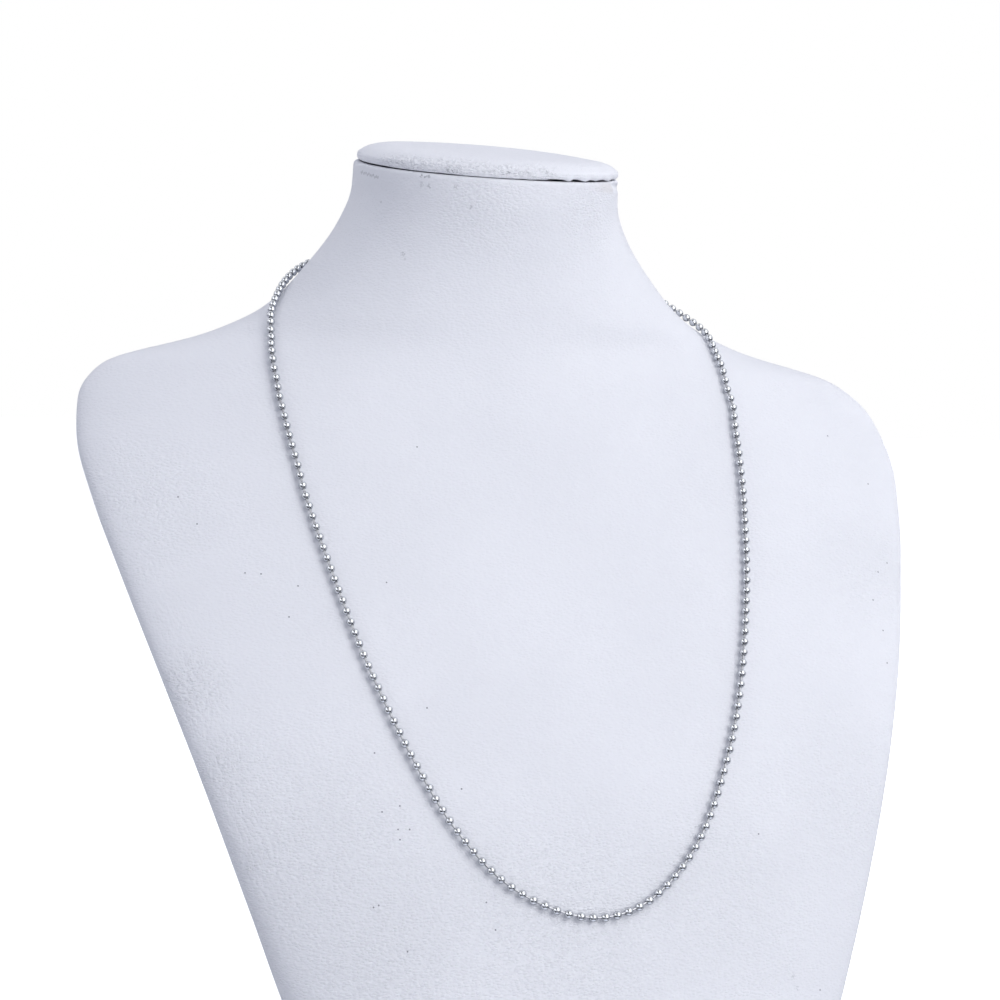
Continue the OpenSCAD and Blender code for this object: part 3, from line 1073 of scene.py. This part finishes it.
def link_model():
    """One link at the origin, with its rod along z."""
    rod = bpy.ops.mesh.primitive_cylinder_add
    link = start_from(rod, vertices=LINK_SIDES, radius=ROD_RADIUS, depth=2 * ROD_HALF)
    edit_mode()
    extrusions = (
        (FLARE_SHARE * HEAD_LENGTH, HEAD_RADIUS / ROD_RADIUS),
        ((1 - FLARE_SHARE) * HEAD_LENGTH, HEAD_TIP),
    )
    for side in (1, -1):
        pick_faces(link, lambda middle, normal: normal.z * side > 0.9)
        for length, swell in extrusions:
            bpy.ops.mesh.extrude_region_move(
                TRANSFORM_OT_translate={"value": (0, 0, side * length)}
            )
            bpy.ops.transform.resize(value=(swell, swell, 1))
    object_mode()
    bpy.ops.object.shade_smooth_by_angle(angle=math.radians(50))
    print("one link:", len(link.data.polygons), "faces")
    return link


# %% The row of links
link_places = [along((a + b) / 2, (b - a).normalized()) for a, b in zip(beads, beads[1:])]
link_row = join_copies(link_model(), link_places, "link_row")
link_row.data.materials.append(drawn_steel)
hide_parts("chain_wire")
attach(link_row, "root")
print("link row:", len(link_row.data.polygons), "faces")

# %% [markdown]
# ## The coupling
#
# At the nape the two end beads sit in a coupling, a small sleeve rolled from sheet with a slit
# along its back. It starts as a cylinder: the ends are bevelled and inset down to the throat,
# the slit's faces are deleted, and Solidify gives the sheet its thickness.

# %% The sleeve
SLEEVE_SIDES = 32
SLEEVE_RADIUS = 1.79 * MM
END_ROUND = 0.5 * MM
SHEET = 0.42 * MM
THROAT_RADIUS = 0.62 * MM
sleeve_low, sleeve_high = (Vector(corner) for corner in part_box("coupling"))
sleeve_length = sleeve_high.x - sleeve_low.x


def sleeve_model():
    """The sleeve at the origin, with its bore along z and its slit towards x."""
    tube = bpy.ops.mesh.primitive_cylinder_add
    sleeve = start_from(tube, vertices=SLEEVE_SIDES, radius=SLEEVE_RADIUS, depth=sleeve_length)
    edit_mode()
    pick_faces(sleeve, lambda middle, normal: abs(normal.z) > 0.9)
    bpy.ops.mesh.region_to_loop()
    bpy.ops.mesh.bevel(offset=END_ROUND, segments=4, affect="EDGES")
    pick_faces(sleeve, lambda middle, normal: abs(normal.z) > 0.99)
    bpy.ops.mesh.inset(thickness=SLEEVE_RADIUS - END_ROUND - THROAT_RADIUS)
    bpy.ops.mesh.delete(type="FACE")
    slit = math.radians(360 / SLEEVE_SIDES)
    pick_faces(
        sleeve, lambda middle, normal: middle.x > 0 and abs(math.atan2(middle.y, middle.x)) < slit
    )
    bpy.ops.mesh.delete(type="FACE")
    object_mode()
    add_modifier(sleeve, "SOLIDIFY", thickness=SHEET, offset=-1)
    add_modifier(sleeve, "BEVEL", width=0.05 * MM, segments=2, limit_method="ANGLE")
    bpy.ops.object.shade_smooth_by_angle(angle=math.radians(40))
    return sleeve


sleeve_middle = (beads[0] + beads[-1]) / 2
sleeve_way = (beads[0] - beads[-1]).normalized()
_, nape_normal, _, _ = cover_tree.find_nearest(sleeve_middle)
slit_way = (nape_normal - nape_normal.dot(sleeve_way) * sleeve_way).normalized()
side_way = sleeve_way.cross(slit_way)
turn = Matrix((slit_way, side_way, sleeve_way)).transposed().to_4x4()
sleeve_place = Matrix.Translation(sleeve_middle) @ turn
coupling_sleeve = join_copies(sleeve_model(), [sleeve_place], "coupling_sleeve")
coupling_sleeve.data.materials.append(steel)
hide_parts("coupling")
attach(coupling_sleeve, "root")
print("sleeve:", round(sleeve_length / MM, 2), "mm,", len(coupling_sleeve.data.polygons), "faces")

# %% [markdown]
# ## Floor and background
#
# The object stands on a plain pale floor before a white background. For the camera both are
# lit to clear white. For soft light the floor is plain and pale, so that it sends only a
# natural light back up to the chest, and the background is a dim room. The beads don't mirror
# either. What they mirror is a room with more in it, told by directions: a grey middle, a dark
# ceiling, dark gaps low on both sides, a large pale sheet on the left, and a white table that
# fills the way down.

# %% The floor
FLOOR_SIDE = 8
floor = start_from(bpy.ops.mesh.primitive_plane_add, size=FLOOR_SIDE)
floor.name = "pale_floor"
FLOOR_DARK = (0.70, 0.71, 0.73, 1)
FLOOR_LIGHT = (0.74, 0.75, 0.77, 1)
floor_material, floor_tree, floor_shader = dusty("pale_floor", 1.5, FLOOR_DARK, FLOOR_LIGHT)
seen = add_node(floor_tree, "ShaderNodeLightPath").outputs["Is Camera Ray"]
floor_tree.links.new(seen, floor_shader.inputs["Emission Strength"])
floor_shader.inputs["Emission Color"].default_value = (1, 1, 1, 1)
floor.data.materials.append(floor_material)
floor.visible_glossy = False
print("floor:", FLOOR_SIDE, "m wide")

# %% The world
world = bpy.data.worlds.new("white_room")
bpy.context.scene.world = world
world.use_nodes = True
world_tree = world.node_tree
world_tree.nodes.clear()
path = add_node(world_tree, "ShaderNodeLightPath")
way = add_node(world_tree, "ShaderNodeTexCoord").outputs["Generated"]
rise = add_node(world_tree, "ShaderNodeSeparateXYZ", {"Vector": way}).outputs["Z"]
chest = Vector((0, -0.04, 0.15))


def studio_way(side, up):
    """The way from the chest at an angle to the right of the camera and an angle up."""
    forward = eye - chest
    bearing, height = math.atan2(forward.y, forward.x) + math.radians(side), math.radians(up)
    level = math.cos(height)
    return Vector((math.cos(bearing) * level, math.sin(bearing) * level, math.sin(height)))


def patch(side, up, inner, outer, strength):
    """A soft round patch of the room: its strength inside one angle, nothing past another."""
    feeds = {0: way, 1: studio_way(side, up)}
    near = add_node(world_tree, "ShaderNodeVectorMath", feeds, operation="DOT_PRODUCT")
    edge, full = math.cos(math.radians(outer)), math.cos(math.radians(inner))
    return smooth_range(world_tree, near.outputs["Value"], edge, full, 0.0, strength)


def background(colour, strength):
    """A background of one colour."""
    feeds = {"Color": (*colour, 1), "Strength": strength}
    return add_node(world_tree, "ShaderNodeBackground", feeds)


ROOM_GREY = 0.42
TABLE_EDGE = -0.6
TABLE_FULL = -0.78
TABLE_STRENGTH = 1.6
ROOM_COLOUR = (0.43, 0.53, 1.0)
ROOM_STRENGTH = 0.165
MIRRORED_COLOUR = (0.87, 0.89, 1.0)
# Each patch: angle to the side, angle up, inner angle, outer angle and strength.
PALE_SHEET = (-58, 27, 6, 26, 1.1)
DARK_PATCHES = [
    (-32, -32, 12, 32, 0.96),
    (60, -24, 10, 27, 0.78),
    (10, -36, 4, 22, 0.4),
    (-12, 74, 16, 36, 0.92),
]
glow = ROOM_GREY
for dark in DARK_PATCHES:
    glow = maths(world_tree, "MULTIPLY", glow, maths(world_tree, "SUBTRACT", 1.0, patch(*dark)))
table = smooth_range(world_tree, rise, TABLE_EDGE, TABLE_FULL, 0.0, TABLE_STRENGTH)
for bright in (patch(*PALE_SHEET), table):
    glow = maths(world_tree, "MAXIMUM", glow, bright)
room = background(ROOM_COLOUR, ROOM_STRENGTH)
mirrored = background(MIRRORED_COLOUR, glow)
white = background((1, 1, 1), 1.0)


def either(share, first, second):
    """Mixes two backgrounds."""
    mix = add_node(world_tree, "ShaderNodeMixShader", {0: share})
    world_tree.links.new(first.outputs[0], mix.inputs[1])
    world_tree.links.new(second.outputs[0], mix.inputs[2])
    return mix


around = either(path.outputs["Is Glossy Ray"], room, mirrored)
whole = either(path.outputs["Is Camera Ray"], around, white)
world_out = add_node(world_tree, "ShaderNodeOutputWorld")
world_tree.links.new(whole.outputs[0], world_out.inputs["Surface"])
print("world ready")

# %% [markdown]
# ## Studio light
#
# Each polished bead mirrors the studio: a strong soft box on the right that reaches high up, a
# small one on the left, and dim white walls and sheets round the rest. All are area lights.
# Each is placed by its direction from the chest, as an angle to the side of the camera and an
# angle up.


# %% Soft boxes
def soft_box(name, side, up, distance, width, height, radiance, colour=(1, 1, 1)):
    """An area light that faces the chest."""
    way = studio_way(side, up)
    lamp = bpy.data.lights.new(name, "AREA")
    lamp.shape = "RECTANGLE"
    lamp.size, lamp.size_y = width, height
    lamp.energy = radiance * math.pi * width * height
    lamp.color = colour
    box = bpy.data.objects.new(name, lamp)
    bpy.context.collection.objects.link(box)
    turn = way.to_track_quat("Z", "Y").to_matrix().to_4x4()
    box.matrix_world = Matrix.Translation(chest + way * distance) @ turn
    box.visible_camera = False


WARM_WHITE = (1.0, 0.995, 0.98)
# Each box: name, angle to the side, angle up, distance, width, height and brightness.
WARM_BOXES = [
    ("right_box", 48, 22, 1.3, 1.1, 1.1, 2.46),
    ("right_high_box", 50, 54, 1.3, 1.0, 0.9, 1.55),
    ("left_box", -54, 26, 1.3, 0.6, 0.6, 1.6),
]
WHITE_BOXES = [
    ("left_sheet", -25, 12, 1.6, 1.6, 0.8, 0.6),
    ("left_wall", -88, 22, 1.3, 1.2, 1.2, 0.2),
    ("left_back_wall", -125, 30, 1.4, 1.4, 1.4, 0.8),
    ("right_back_wall", 125, 30, 1.4, 1.4, 1.4, 0.77),
    ("back_top_box", 165, 62, 1.4, 2.0, 1.4, 0.56),
    ("top_box", 0, 82, 1.4, 1.4, 1.4, 0.21),
]
for box in WARM_BOXES:
    soft_box(*box, WARM_WHITE)
for box in WHITE_BOXES:
    soft_box(*box)
print("soft boxes:", len(WARM_BOXES) + len(WHITE_BOXES))

# %% [markdown]
# ## Last steps
#
# The standard view transform shows the colours as they are lit.

# %% Colour
bpy.context.scene.view_settings.view_transform = "Standard"
bpy.context.scene.view_settings.look = "None"
bpy.context.scene.view_settings.exposure = 0.0
